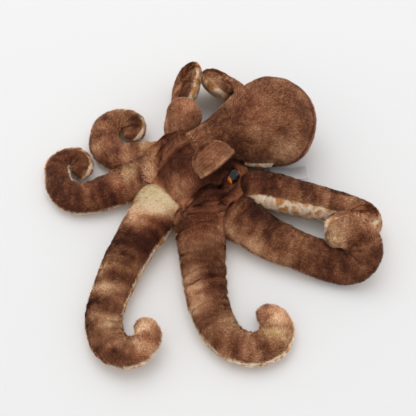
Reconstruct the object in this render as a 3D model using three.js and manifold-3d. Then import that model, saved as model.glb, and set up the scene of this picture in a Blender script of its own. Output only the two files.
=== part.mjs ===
// A plush octopus lying on a table with its eight arms spread and their ends curled.
//
// Millimetres, +Z up. The octopus faces -Y, its left side is +X and its mantle lies behind it
// along +Y. The table top is z = 0, and the ring from which the arms spread is centred on the
// Z axis. Outlines are the outside of the plush, out to the tips of its pile.

import * as THREE from 'three';
import { ParametricGeometry } from 'three/addons/geometries/ParametricGeometry.js';
import { mergeVertices } from 'three/addons/utils/BufferGeometryUtils.js';
import Module from 'manifold-3d';

const wasm = await Module();
wasm.setup();

// ---------------------------------------------------------------- driving dimensions

const GAP = 0.35;                 // clear space left between neighbouring pieces
const RING = 32;                  // radius of the ring on which the arms' centrelines begin
const ARM_SIDES = 12;             // facets round an arm
const ARM_SHRINK = 0.6;           // power of the taper from root to tip
const ROOT_SWELL = 3;             // extra thickness where an arm joins the body
const ROOT_SWELL_LENGTH = 60;

const HEAD_MIDDLE = [6, -7];      // the head is a dome on an oval base
const HEAD_RADII = [55, 46];
const HEAD_HEIGHT = 62;
const HEAD_FULLNESS = 0.62;       // 0.5 makes the dome half an ellipsoid, 1 a paraboloid

const BROW_CENTRES = { left: [25, 0, 54.5], right: [-29.5, -0.5, 55] };
const BROW_RADII = { left: [17, 19.5, 20], right: [17, 15, 20] };

const EYE_PLACE = [37.3, 12.5, 39];   // middle of the left eye's rim
const EYE_AZIMUTH = 17;           // where the left eye looks, in degrees from +X toward +Y
const EYE_ELEVATION = 10;
const EYE_RADIUS = 8;
const EYE_DOME = 4.6;             // height of the dome over its rim
const EYE_SHANK = 3.5;            // depth of the eye's back set into the head

const NECK_Y = -10;                // the mantle runs from the neck back to MANTLE_END
const MANTLE_END = 112;
const NECK_HEIGHT = 54;           // height of the mantle's middle at the neck and at the bulb
const BULB_HEIGHT = 37.6;
const NECK_RADIUS = 15;
const BULB_RADIUS = 41;
const BULB_SHARE = 0.7;           // share of the mantle's length at which it is widest

const LABEL_LENGTH = 34;
const LABEL_WIDTH = 24;
const LABEL_THICKNESS = 0.7;

// Each arm lies along a centreline. It leaves the ring at the angle root and sets off along
// heading, both in degrees from +X toward +Y. It bends by bend degrees between the distances
// bendSpan, and curls by curl degrees between the distances curlSpan, faster and faster where
// tight is over 1. The curl lies in a plane rolled up from the table by roll degrees. The roll
// comes in after rollFrom, over rollLength. Widths are at the root and from thinAt to the tip,
// and flatness is the thickness over the width. flare widens the root and the tip, and unroll is
// the share of the roll that eases off towards the tip.
// joints are the distances at which the arm is divided. Where the arms crowd together at their
// roots, each keeps to the sector between two directions from the middle of the ring.
const ARMS = [
  {
    name: 'arm_left_3', root: 351, heading: 13, length: 190, width: [53, 27], flatness: 0.66,
    flare: [10, 5], bend: 25, bendSpan: [0, 90],
    curl: 292, curlSpan: [126, 190], tight: 1.2,
    roll: 46, rollFrom: 90, rollLength: 60, unroll: 0,
    thinAt: 204, joints: [70, 121], sector: [-11, 22],
  },
  {
    name: 'arm_left_2', root: 335, heading: 329.3, length: 212, width: [52, 26], flatness: 0.66,
    flare: [15, 3], bend: 24, bendSpan: [0, 217],
    curl: 286, curlSpan: [75, 215], tight: 2.7,
    roll: 0, rollFrom: 0, rollLength: 40, unroll: 0,
    thinAt: 218, joints: [78, 142], sector: [316, 349],
  },
  {
    name: 'arm_left_1', root: 291, heading: 294.5, length: 217, width: [56, 25], flatness: 0.66,
    flare: [0, 0], bend: 40, bendSpan: [0, 220],
    curl: 298, curlSpan: [88, 219], tight: 3.3,
    roll: 12, rollFrom: 20, rollLength: 40, unroll: 0,
    thinAt: 222, joints: [82, 150], sector: [271, 316],
  },
  {
    name: 'arm_right_1', root: 246, heading: 263.8, length: 172, width: [52, 20], flatness: 0.66,
    flare: [0, 2], bend: -100, bendSpan: [66, 108],
    curl: -195, curlSpan: [120, 160], tight: 1,
    roll: 10, rollFrom: 60, rollLength: 40, unroll: 0,
    thinAt: 154, joints: [60, 116], sector: [233, 271],
  },
  {
    name: 'arm_right_2', root: 222, heading: 236, length: 134, width: [42, 24], flatness: 0.66,
    flare: [0, 2], bend: -90, bendSpan: [35, 77],
    curl: -185, curlSpan: [80, 124], tight: 1,
    roll: 10, rollFrom: 40, rollLength: 40, unroll: 0,
    thinAt: 120, joints: [46, 78], sector: [195, 233],
  },
  {
    name: 'arm_left_4', root: 25, heading: 50, length: 167, width: [52, 27], flatness: 0.84,
    flare: [-9, 4], bend: -6, bendSpan: [0, 178],
    curl: -180, curlSpan: [106, 150], tight: 1,
    roll: 38, rollFrom: 0, rollLength: 30, unroll: 0.5,
    thinAt: 170, joints: [60, 104], sector: [22, 85],
  },
  {
    name: 'arm_right_3', root: 168, heading: 169, length: 141, width: [34, 25], flatness: 0.66,
    flare: [0, 0], bend: -36, bendSpan: [0, 140],
    curl: -168, curlSpan: [64, 99], tight: 1,
    roll: 60, rollFrom: 0, rollLength: 30, unroll: 0,
    thinAt: 66, joints: [36, 62], sector: [150, 195],
  },
  {
    name: 'arm_right_4', root: 133, heading: 117, length: 137, width: [38, 25], flatness: 0.72,
    flare: [0, 3], bend: 80, bendSpan: [42, 77],
    curl: 168, curlSpan: [80, 117], tight: 1,
    roll: 43, rollFrom: 0, rollLength: 30, unroll: 0,
    thinAt: 110, joints: [46, 77], sector: [85, 150],
  },
];

const BROWN_PLUSH = new THREE.MeshStandardMaterial({ color: 0x6b4530, roughness: 1, metalness: 0 });
const TAN_PLUSH = new THREE.MeshStandardMaterial({ color: 0x9c7350, roughness: 1, metalness: 0 });
const EYE_PLASTIC = new THREE.MeshStandardMaterial({ color: 0x14100e, roughness: 0.1, metalness: 0 });
const SATIN = new THREE.MeshStandardMaterial({ color: 0xeceae6, roughness: 0.5, metalness: 0 });

// ---------------------------------------------------------------- solids and cuts

const radians = THREE.MathUtils.degToRad;

function clamp01(value) {
  return Math.min(1, Math.max(0, value));
}

function ease(value) {
  const t = clamp01(value);
  return t * t * (3 - 2 * t);
}

// A closed geometry as a solid that can be cut.
function solid(geometry) {
  const bare = geometry.index ? geometry.toNonIndexed() : geometry.clone();
  bare.deleteAttribute('normal');
  bare.deleteAttribute('uv');
  const merged = mergeVertices(bare, 1e-3);
  const corners = merged.index.array;
  const kept = [];
  for (let i = 0; i < corners.length; i += 3) {
    const [a, b, c] = [corners[i], corners[i + 1], corners[i + 2]];
    if (a !== b && b !== c && c !== a) kept.push(a, b, c);
  }
  return new wasm.Manifold(new wasm.Mesh({
    numProp: 3,
    vertProperties: new Float32Array(merged.attributes.position.array),
    triVerts: new Uint32Array(kept),
  }));
}

// The solid's largest single body, as a geometry. The crumbs that a cut leaves beside it are
// dropped, some of which come loose only when corners that nearly meet are joined.
function largestBody(piece) {
  let rest = piece;
  let geometry = null;
  for (let pass = 0; pass < 3; pass++) {
    const bodies = rest.decompose();
    bodies.sort((a, b) => b.volume() - a.volume());
    const mesh = bodies[0].getMesh();
    geometry = new THREE.BufferGeometry();
    geometry.setAttribute('position', new THREE.BufferAttribute(new Float32Array(mesh.vertProperties), 3));
    geometry.setIndex(new THREE.BufferAttribute(new Uint32Array(mesh.triVerts), 1));
    rest = solid(geometry);
  }
  geometry.computeVertexNormals();
  return geometry;
}

// A closed skin through a row of rings. ringPoint(row, angle) gives a point of a ring, and the
// first and last rows are shrunk to their middles to close the ends.
function skin(rows, sides, ringPoint, ringMiddle) {
  const surface = (u, v, target) => {
    const row = Math.round(v * (rows + 1)) - 1;
    const end = row < 0 || row >= rows;
    const point = end ? ringMiddle(row < 0 ? 0 : rows - 1) : ringPoint(row, 2 * Math.PI * u);
    target.copy(point);
  };
  return solid(new ParametricGeometry(surface, sides, rows + 1));
}

// ---------------------------------------------------------------- arms

// The arm's width at distance s, before its tip is rounded off.
function fullWidth(arm, s) {
  const [root, tip] = arm.width;
  const taper = root + (tip - root) * clamp01(s / arm.thinAt) ** ARM_SHRINK;
  return taper + arm.flare[0] * (1 - ease(s / 50)) + arm.flare[1] * ease((s - arm.length + 60) / 40);
}

// The share of its width that is left at distance s where the tip is rounded off.
function tipTrim(arm, s) {
  const left = arm.length - s;
  const rounding = (arm.width[1] + arm.flare[1]) / 2;
  if (left >= rounding) return 1;
  return Math.sqrt(Math.max(0.02, 1 - ((rounding - left) / rounding) ** 2));
}

// Direction, side and top of the arm at distance s along it.
function armFrame(arm, s) {
  const bent = clamp01((s - arm.bendSpan[0]) / (arm.bendSpan[1] - arm.bendSpan[0]));
  const curled = clamp01((s - arm.curlSpan[0]) / (arm.curlSpan[1] - arm.curlSpan[0]));
  const heading = radians(arm.heading + arm.bend * bent);
  const turn = radians(arm.curl * curled ** arm.tight);
  const rolled = ease((s - arm.rollFrom) / arm.rollLength) - arm.unroll * ease((s - arm.curlSpan[0] + 10) / 40);
  const roll = radians(arm.roll) * rolled * Math.sign(arm.curl);
  const ahead = new THREE.Vector3(Math.cos(heading), Math.sin(heading), 0);
  const left = new THREE.Vector3(-Math.sin(heading), Math.cos(heading), 0)
    .multiplyScalar(Math.cos(roll))
    .add(new THREE.Vector3(0, 0, Math.sin(roll)));
  const along = ahead.clone().multiplyScalar(Math.cos(turn)).addScaledVector(left, Math.sin(turn));
  const side = ahead.clone().multiplyScalar(-Math.sin(turn)).addScaledVector(left, Math.cos(turn));
  const top = along.clone().cross(side);
  return { along, side, top, roll };
}

// Stations along the arm, one for each distance in stops, each with its middle, side and top
// directions and half width and half thickness.
function armStations(arm, stops) {
  const step = 1;
  const start = radians(arm.root);
  const place = new THREE.Vector3(RING * Math.cos(start), RING * Math.sin(start), 0);
  const stations = [];
  let s = 0;
  for (const stop of stops) {
    while (s < stop - 1e-9) {
      const ds = Math.min(step, stop - s);
      place.addScaledVector(armFrame(arm, s + ds / 2).along, ds);
      s += ds;
    }
    const frame = armFrame(arm, s);
    const swell = ROOT_SWELL * (1 - ease(s / ROOT_SWELL_LENGTH));
    const untrimmed = fullWidth(arm, s) / 2;
    const thick = untrimmed * arm.flatness + swell / 2;
    const rest = Math.hypot(untrimmed * Math.sin(frame.roll), thick * Math.cos(frame.roll));
    const trim = tipTrim(arm, s);
    stations.push({
      middle: new THREE.Vector3(place.x, place.y, place.z + rest - 0.8),
      side: frame.side,
      top: frame.top,
      halfWidth: untrimmed * trim,
      halfThickness: thick * trim,
    });
  }
  return stations;
}

// The wedge of space that an arm's root keeps to, grown by grow at its two faces.
function sectorWedge(arm, grow) {
  const [low, high] = arm.sector.map(radians);
  const middle = (low + high) / 2;
  const inset = (GAP / 2 - grow) / Math.sin((high - low) / 2);
  const far = 300;
  const corner = new THREE.Shape();
  corner.moveTo(0, 0);
  corner.lineTo(far * Math.cos(low), far * Math.sin(low));
  corner.lineTo(far * Math.cos(high), far * Math.sin(high));
  const wedge = new THREE.ExtrudeGeometry(corner, { depth: 120, bevelEnabled: false });
  wedge.translate(inset * Math.cos(middle), inset * Math.sin(middle), -20);
  return solid(wedge);
}

// The length of an arm between two distances, grown all round by grow.
function armPiece(arm, from, to, spacing, grow) {
  const count = Math.max(3, Math.round((to - from) / spacing) + 1);
  const stops = [];
  for (let i = 0; i < count; i++) {
    stops.push(Math.max(0, from - grow) + ((to + grow) - Math.max(0, from - grow)) * (i / (count - 1)));
  }
  const stations = armStations(arm, stops.map((s) => Math.min(s, arm.length)));
  const ringPoint = (row, angle) => {
    const { middle, side, top, halfWidth, halfThickness } = stations[row];
    const turned = angle + Math.PI / ARM_SIDES;
    const point = middle.clone()
      .addScaledVector(side, (halfWidth + grow) * 1.02 * Math.cos(turned))
      .addScaledVector(top, (halfThickness + grow) * 1.02 * Math.sin(turned));
    point.z = Math.max(point.z, -grow);
    return point;
  };
  return skin(count, ARM_SIDES, ringPoint, (row) => {
    const middle = stations[row].middle.clone();
    middle.z = Math.max(middle.z, 0.2);
    return middle;
  });
}

// ---------------------------------------------------------------- head, brows, eyes, mantle

function ellipsoid(centre, radii, around, down, grow) {
  const ball = new THREE.SphereGeometry(1, around, down);
  ball.rotateX(Math.PI / 2);
  ball.scale(radii[0] + grow, radii[1] + grow, radii[2] + grow);
  ball.translate(...centre);
  return solid(ball);
}

function head(grow) {
  const rows = 11;
  const profile = [new THREE.Vector2(0, 0)];
  for (let i = 0; i < rows; i++) {
    const height = Math.sin(i / rows * Math.PI / 2);
    profile.push(new THREE.Vector2((1 - height ** 2) ** HEAD_FULLNESS, height));
  }
  profile.push(new THREE.Vector2(0, 1));
  const dome = new THREE.LatheGeometry(profile, 26);
  dome.rotateX(Math.PI / 2);
  dome.scale(HEAD_RADII[0] + grow, HEAD_RADII[1] + grow, HEAD_HEIGHT + 2 * grow);
  dome.translate(HEAD_MIDDLE[0], HEAD_MIDDLE[1], -grow);
  return solid(dome);
}

function brow(name, grow) {
  return ellipsoid(BROW_CENTRES[name], BROW_RADII[name], 16, 10, grow);
}

// A domed safety eye: a cap of a sphere in front of its rim and a short cone behind it.
function eye(side, grow) {
  const sphere = (EYE_RADIUS ** 2 + EYE_DOME ** 2) / (2 * EYE_DOME);
  const widest = Math.asin(EYE_RADIUS / sphere);
  const profile = [new THREE.Vector2(0, -EYE_SHANK - grow)];
  profile.push(new THREE.Vector2(EYE_RADIUS * 0.7 + grow, -EYE_SHANK - grow));
  for (let i = 0; i < 4; i++) {
    const angle = widest * (1 - i / 4);
    const y = sphere * Math.cos(angle) - (sphere - EYE_DOME);
    profile.push(new THREE.Vector2(sphere * Math.sin(angle) + grow, y + grow));
  }
  profile.push(new THREE.Vector2(0, EYE_DOME + grow));
  const dome = new THREE.LatheGeometry(profile, 18);
  dome.rotateZ(-Math.PI / 2);
  dome.rotateY(-radians(EYE_ELEVATION));
  dome.rotateZ(radians(EYE_AZIMUTH));
  dome.translate(...EYE_PLACE);
  const made = solid(dome);
  return side > 0 ? made : made.mirror([1, 0, 0]);
}

function mantleRadius(share) {
  if (share > BULB_SHARE) {
    const past = (share - BULB_SHARE) / (1 - BULB_SHARE);
    return BULB_RADIUS * Math.sqrt(Math.max(0, 1 - past ** 2));
  }
  const grown = (0.5 - 0.5 * Math.cos(Math.PI * share / BULB_SHARE)) ** 1.2;
  return NECK_RADIUS + (BULB_RADIUS - NECK_RADIUS) * grown;
}

// Shares of the mantle's length at which its rings lie: even at first, closer at the round end.
function mantleShares(count) {
  const shares = [];
  for (let i = 0; i < count; i++) {
    const t = i / (count - 1);
    shares.push(t < 0.6 ? BULB_SHARE * t / 0.6
      : BULB_SHARE + (1 - BULB_SHARE) * Math.sin((t - 0.6) / 0.4 * Math.PI / 2));
  }
  return shares;
}

function mantle(grow) {
  const shares = mantleShares(16);
  const middle = (row) => {
    const share = shares[row];
    const z = NECK_HEIGHT + (BULB_HEIGHT - NECK_HEIGHT) * Math.min(1, share * 1.5);
    return new THREE.Vector3(0, NECK_Y + (MANTLE_END - NECK_Y) * share, z);
  };
  const ringPoint = (row, angle) => {
    const radius = Math.max(2, mantleRadius(shares[row])) + grow;
    const point = middle(row);
    point.x -= radius * Math.cos(angle);
    point.z = Math.max(-grow, point.z + radius * Math.sin(angle));
    return point;
  };
  return skin(shares.length, 22, ringPoint, middle);
}

// ---------------------------------------------------------------- label

// A blank woven label sewn under the mantle on the left. It lies in the hollow between the
// mantle and the fourth left arm and sags a little along its length.
function label(grow) {
  const half = LABEL_THICKNESS / 2 + grow;
  const outline = new THREE.Shape();
  const sag = (t) => 2.4 * Math.sin(Math.PI * t);
  const steps = 8;
  for (let i = 0; i <= steps; i++) {
    const t = i / steps;
    const x = t * LABEL_LENGTH;
    if (i === 0) outline.moveTo(x, half - sag(t));
    else outline.lineTo(x, half - sag(t));
  }
  for (let i = steps; i >= 0; i--) {
    outline.lineTo(i / steps * LABEL_LENGTH, -half - sag(i / steps));
  }
  const sheet = new THREE.ExtrudeGeometry(outline, { depth: LABEL_WIDTH, bevelEnabled: false });
  sheet.translate(0, 0, -LABEL_WIDTH / 2);
  sheet.rotateX(Math.PI / 2);
  sheet.rotateX(radians(-28));
  sheet.rotateZ(radians(62));
  sheet.translate(31, 53, 14);
  return solid(sheet);
}

// ---------------------------------------------------------------- the pieces, each cut by those before it

const group = new THREE.Group();
const placed = [];

function overlaps(a, b) {
  for (let i = 0; i < 3; i++) {
    if (a.min[i] > b.max[i] || b.min[i] > a.max[i]) return false;
  }
  return true;
}

// make(grow) builds the piece, grown all round by grow.
function place(name, material, make) {
  let piece = make(0);
  const box = piece.boundingBox();
  for (const other of placed) {
    if (overlaps(box, other.grown.boundingBox())) piece = piece.subtract(other.grown);
  }
  placed.push({ name, grown: make(GAP) });
  const mesh = new THREE.Mesh(largestBody(piece), material);
  mesh.name = name;
  group.add(mesh);
}

for (const side of [1, -1]) {
  const name = side > 0 ? 'left' : 'right';
  place(`eye_${name}`, EYE_PLASTIC, (grow) => eye(side, grow));
}
for (const name of ['left', 'right']) {
  place(`brow_${name}`, TAN_PLUSH, (grow) => brow(name, grow));
}
place('head', BROWN_PLUSH, head);
place('mantle', BROWN_PLUSH, mantle);
for (const arm of ARMS) {
  const [first, second] = arm.joints;
  const lengths = [
    { part: 'base', from: 0, to: first - GAP / 2, spacing: 12 },
    { part: 'middle', from: first + GAP / 2, to: second - GAP / 2, spacing: 8 },
    { part: 'tip', from: second + GAP / 2, to: arm.length, spacing: 5.6 },
  ];
  for (const { part, from, to, spacing } of lengths) {
    place(`${arm.name}_${part}`, BROWN_PLUSH, (grow) => {
      const piece = armPiece(arm, from, to, spacing, grow);
      return part === 'base' ? piece.intersect(sectorWedge(arm, grow)) : piece;
    });
  }
}
place('label', SATIN, label);

// The part's origin is the middle of the octopus's outline on the table.
const outline = new THREE.Box3().setFromObject(group);
const centre = outline.getCenter(new THREE.Vector3());
group.position.set(-centre.x, -centre.y, 0);

export default group;
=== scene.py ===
# A plush octopus lying on a table: a pile-covered head, a stuffed mantle behind it, two eye
# hoods with domed safety eyes under them, and eight stuffed arms whose ends curl. Shapes are
# worked out in millimetres from the middle of the ring on which the arms begin.

import math

import bpy
import numpy as np
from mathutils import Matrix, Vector


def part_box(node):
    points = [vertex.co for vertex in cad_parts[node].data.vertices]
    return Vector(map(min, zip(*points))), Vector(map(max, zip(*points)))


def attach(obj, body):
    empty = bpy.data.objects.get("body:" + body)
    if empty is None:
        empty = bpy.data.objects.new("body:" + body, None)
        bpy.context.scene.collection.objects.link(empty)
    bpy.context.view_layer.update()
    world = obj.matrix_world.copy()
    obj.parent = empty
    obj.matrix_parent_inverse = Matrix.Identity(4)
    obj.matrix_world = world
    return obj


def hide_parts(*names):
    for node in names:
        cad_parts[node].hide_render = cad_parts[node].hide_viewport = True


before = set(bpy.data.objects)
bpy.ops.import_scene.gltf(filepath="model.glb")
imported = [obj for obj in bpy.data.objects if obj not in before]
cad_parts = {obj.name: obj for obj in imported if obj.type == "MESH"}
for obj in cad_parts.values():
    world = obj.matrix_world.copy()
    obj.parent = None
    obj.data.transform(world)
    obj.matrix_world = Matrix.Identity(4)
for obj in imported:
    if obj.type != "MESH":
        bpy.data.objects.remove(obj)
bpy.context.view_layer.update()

# ------ camera
# A portrait lens standing off the toy's left cheek and looking well down on it.

HEAD_FROM_RING = (6.0, -7.0)
head_low, head_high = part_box("head")
RING_MIDDLE = np.array([
    (head_low[0] + head_high[0]) * 500 - HEAD_FROM_RING[0],
    (head_low[1] + head_high[1]) * 500 - HEAD_FROM_RING[1],
    0.0,
])

VIEW_AZIMUTH = math.radians(62)
VIEW_ELEVATION = math.radians(55)
VIEW_DISTANCE = 850.0
VIEW_TARGET = (31.5, -8.8, 0.0)
LENS = 83.51


def to_scene(points):
    return (np.asarray(points) + RING_MIDDLE) * 0.001


def put(name, data):
    made = bpy.data.objects.new(name, data)
    bpy.context.scene.collection.objects.link(made)
    return made


camera_data = bpy.data.cameras.new("camera")
camera_data.sensor_width = 36
camera_data.lens = LENS
camera_data.clip_start = 0.01
camera = put("camera", camera_data)
bpy.context.scene.camera = camera
back = Vector((
    math.sin(VIEW_AZIMUTH) * math.cos(VIEW_ELEVATION),
    -math.cos(VIEW_AZIMUTH) * math.cos(VIEW_ELEVATION),
    math.sin(VIEW_ELEVATION),
))
camera.location = Vector(to_scene(VIEW_TARGET)) + back * VIEW_DISTANCE * 0.001
camera.rotation_mode = "QUATERNION"
camera.rotation_quaternion = (-back).to_track_quat("-Z", "Y")

# ------ table and light
# A matt off-white sweep lit by a white tent, with one broad lamp overhead and behind.

TABLE_SIZE = 12.0
TABLE_GREY = 0.82
TENT_STRENGTH = 0.84
LAMP_WATTS = 8.5
LAMP_SIZE = 1.4
LAMP_PLACE = (-0.55, 0.15, 1.5)

table_data = bpy.data.meshes.new("table")
half = TABLE_SIZE / 2
corners = [(-half, -half, 0), (half, -half, 0), (half, half, 0), (-half, half, 0)]
table_data.from_pydata(corners, [], [(0, 1, 2, 3)])
table = put("table", table_data)
table_paint = bpy.data.materials.new("table_paint")
table_paint.use_nodes = True
table_shader = table_paint.node_tree.nodes["Principled BSDF"]
table_shader.inputs["Base Color"].default_value = (TABLE_GREY, TABLE_GREY, TABLE_GREY, 1)
table_shader.inputs["Roughness"].default_value = 0.9
table_shader.inputs["Specular IOR Level"].default_value = 0.1
table_data.materials.append(table_paint)

tent = bpy.data.worlds.new("tent")
tent.use_nodes = True
tent.node_tree.nodes["Background"].inputs["Color"].default_value = (1.0, 1.0, 1.0, 1)
tent.node_tree.nodes["Background"].inputs["Strength"].default_value = TENT_STRENGTH
bpy.context.scene.world = tent
bpy.context.scene.view_settings.view_transform = "Standard"

lamp_data = bpy.data.lights.new("lamp_over", "AREA")
lamp_data.size = LAMP_SIZE
lamp_data.energy = LAMP_WATTS
lamp = put("lamp_over", lamp_data)
lamp.location = LAMP_PLACE
lamp.rotation_mode = "QUATERNION"
lamp.rotation_quaternion = (-Vector(LAMP_PLACE)).to_track_quat("-Z", "Y")

# ------ arms
# Eight stuffed tubes, each cut from two tapering strips: brown plush on top and spotted cream
# plush below, sewn edge to edge and turned right side out. The curled ends are gathered on
# their inner side, which wrinkles them. Sizes are millimetres, angles are degrees.

PILE_DEPTH = 1.7          # the cloth lies this far inside the outline of the pile
ARM_SHRINK = 0.6
ROOT_SWELL = 3.0
ROOT_SWELL_LENGTH = 60.0
RING = 32.0
ROW_STEP = 1.3
COLUMNS = 72
TABLE_GAP = 0.5           # the least height of a cloth over the table
GATHER_DEPTH = 1.5        # wrinkles inside a curl, and how far apart they lie
GATHER_PITCH = 8.5
SEAM_DEPTH = 0.9
STITCH_PITCH = 5.5
NOWHERE_NEAR = 99.0

# An arm leaves the ring at the angle root and sets off at heading. It bends and curls over the
# spans given, and tight winds the curl closer towards its end. roll tips it on its side, and
# unroll is the share of this that eases off along the curl. thin_at is where the taper ends, and
# flare widens the root and the tip. lap is how far the brown cloth comes round the left and right
# edges, at the root and then at the tip, and lap_from is the share of the length where it starts
# to change. A crease is (distance, depth, half width, slant). A patch of dye is (distance, place
# across, half length, half breadth, tone, tint): tone is up for paler, and tint is up for
# greenish and down for pinkish. ARM is what most arms share.
ARM = dict(flatness=0.66, flare=(0, 0), tight=1, roll_from=0, roll_length=40, unroll=0,
           start=0, round_root=8, lap_from=0.45, creases=[])

ARMS = [
    dict(ARM, name="arm_left_3", root=351, heading=13, length=190, width=(53, 27), flare=(10, 5),
         thin_at=204, bend=25, bend_span=(0, 90), curl=292, curl_span=(126, 190), tight=1.2, roll=46,
         roll_from=90, roll_length=60, start=21, round_root=13, lap=(6, 26, 0, 14), tone=0.3,
         creases=[(178, 0.9, 1.6, 2), (35, 1.8, 1.6, 3)],
         colouring=[(58, -1, 26, 0.34, 0.5, -0.4), (28, -0.9, 8, 0.5, 0.14, 0),
              (46, 0.3, 18, 0.8, -0.2, 0), (92, 0.1, 9, 1, 0.08, 0), (122, -0.1, 12, 0.9, -0.13, 0),
              (150, -0.5, 9, 0.8, -0.08, 0), (166, -0.9, 12, 0.4, 0.16, 0),
              (184, 0.1, 14, 1.3, 0.46, 0.1), (172, -0.8, 8, 0.5, -0.06, 0)]),
    dict(ARM, name="arm_left_2", root=335, heading=329.3, length=212, width=(52, 26), flare=(15, 3),
         thin_at=218, bend=24, bend_span=(0, 217), curl=286, curl_span=(75, 215), tight=2.7, roll=0,
         start=14, round_root=14, lap=(8, -4, 0, -18), tone=0.42,
         creases=[(83, 2.2, 2, -3), (103, 1, 2.4, -4), (70, 0.5, 2, 5), (62, 0.5, 1.8, 5),
                  (33, 1.5, 1.6, -6)],
         colouring=[(34, -0.4, 22, 1.2, -0.08, -0.6), (56, 0.2, 8, 0.8, 0.06, 0.2),
              (70, 0, 9, 1, -0.14, 0), (98, -0.9, 18, 0.5, 0.28, -0.7), (100, 0.3, 8, 0.7, -0.06, 0),
              (125, -0.4, 10, 0.5, 0.12, 0.4), (135, 0.8, 14, 0.4, 0.2, 0.1),
              (150, -0.1, 10, 0.7, -0.06, -0.1), (181, 0.2, 9, 0.9, 0.2, 0.9),
              (186, -0.7, 6, 0.4, -0.16, 0), (196, -0.4, 11, 0.8, 0.46, -0.8),
              (212, 0.5, 6, 0.8, -0.08, 0)]),
    dict(ARM, name="arm_left_1", root=291, heading=294.5, length=217, width=(56, 25), thin_at=222, bend=40,
         bend_span=(0, 220), curl=298, curl_span=(88, 219), tight=3.3, roll=12, roll_from=20, start=6,
         round_root=14, lap=(-6, 6, -4, -6), tone=0.44,
         creases=[(142, 0.4, 2.2, 3)],
         colouring=[(22, -0.2, 17, 1, 0.8, 0.5), (44, -0.4, 13, 0.7, 0.34, -0.9),
              (46, 0.9, 16, 0.5, -0.36, -0.6), (70, 0.1, 13, 1.4, -0.46, -0.2),
              (92, -0.8, 14, 0.6, 0.22, 0.1), (115, -0.2, 9, 0.8, 0.24, 0), (100, 0.4, 9, 0.6, -0.1, 0),
              (130, 0, 8, 1.2, -0.2, 0), (146, 0.4, 9, 0.8, 0.26, 0), (160, 0.1, 9, 0.6, -0.06, 0),
              (176, -0.6, 12, 0.5, -0.14, 0), (204, -0.2, 13, 1, 0.28, -0.4)]),
    dict(ARM, name="arm_right_1", root=246, heading=263.8, length=172, width=(52, 20), flare=(0, 2),
         thin_at=154, bend=-100, bend_span=(66, 108), curl=-195, curl_span=(120, 160), roll=10,
         roll_from=60, lap=(8, -6, -42, -18), tone=0.28,
         creases=[(66, 0.5, 2, 5)],
         colouring=[(30, -0.2, 10, 0.7, 0.26, 0.5), (18, 0.5, 9, 0.6, -0.1, -0.2),
              (22, 1, 12, 0.3, 0.22, -0.3), (44, 0.4, 9, 0.9, 0.05, -0.9),
              (100, 0, 26, 1.5, -0.16, -0.2), (108, 0.9, 22, 0.3, 0.08, -0.2)]),
    dict(ARM, name="arm_right_2", root=222, heading=236, length=134, width=(42, 24), flare=(0, 2),
         thin_at=120, bend=-90, bend_span=(35, 77), curl=-185, curl_span=(80, 124), roll=10,
         roll_from=40, lap=(6, 0, -36, -18), tone=0.34,
         creases=[(24, 1, 1.8, 9)],
         colouring=[(18, -0.3, 14, 0.7, 0.32, 0.5), (48, 0.6, 9, 0.8, -0.16, 0),
              (74, 0, 12, 0.9, 0.06, 0.1), (100, -0.1, 10, 0.9, 0.12, 0.3)]),
    dict(ARM, name="arm_left_4", root=25, heading=50, length=167, width=(52, 27), flatness=0.84,
         flare=(-9, 4), thin_at=170, bend=-6, bend_span=(0, 178), curl=-180, curl_span=(106, 150),
         roll=38, roll_length=30, unroll=0.5, start=6, round_root=16, lap=(-4, -4, -75, -10),
         lap_from=0.54, tone=0.32,
         creases=[(36, 0.7, 2.2, 6)],
         colouring=[(14, 0, 20, 1.6, -0.18, -0.3), (54, 0.2, 10, 1, -0.1, 0), (76, 0, 7, 0.9, 0.12, 0.1),
              (92, 0.2, 8, 0.9, -0.02, 0), (106, 0, 9, 1, 0.16, 0), (142, 0, 26, 1.5, 0.3, -0.7)]),
    dict(ARM, name="arm_right_3", root=168, heading=169, length=141, width=(34, 25), thin_at=66, bend=-36,
         bend_span=(0, 140), curl=-168, curl_span=(64, 99), roll=60, roll_length=30,
         lap=(-8, 0, -22, 0), tone=0.44,
         colouring=[(60, 0, 20, 1.4, -0.06, 0), (118, -0.6, 20, 0.5, 0.18, -0.2)]),
    dict(ARM, name="arm_right_4", root=133, heading=117, length=137, width=(38, 25), flatness=0.72,
         flare=(0, 3), thin_at=110, bend=80, bend_span=(42, 77), curl=168, curl_span=(80, 117),
         roll=43, roll_length=30, lap=(-4, -6, -4, -12), tone=0.42,
         colouring=[(118, 0, 16, 0.9, 0.16, -0.1)]),
]


def ease(value):
    t = np.clip(value, 0, 1)
    return t * t * (3 - 2 * t)


def ripple(points, size, seed):
    """A smooth random field from -1 to 1 over points, with swells about size across."""
    rng = np.random.default_rng(seed)
    points = np.atleast_2d(points)
    total = np.zeros(len(points))
    waves = 14
    for _ in range(waves):
        direction = rng.normal(size=points.shape[1])
        direction /= np.linalg.norm(direction)
        pitch = size * rng.uniform(0.7, 1.7)
        total += np.sin(points @ direction * (2 * math.pi / pitch) + rng.uniform(0, 2 * math.pi))
    return np.clip(total / math.sqrt(waves) / 1.5, -1, 1)


def bump(distance, width):
    return np.exp(-(distance / width) ** 2)


def far_from(place, points):
    return np.linalg.norm(points - np.array(place), axis=1)


def unit(directions):
    length = np.linalg.norm(directions, axis=-1, keepdims=True)
    return directions / np.maximum(length, 1e-9)


def turns(count):
    return np.linspace(0, 2 * math.pi, count, endpoint=False)


def apart(first, second):
    """The angle between two directions round a tube, the short way."""
    return np.abs((first - second + math.pi) % (2 * math.pi) - math.pi)


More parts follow.
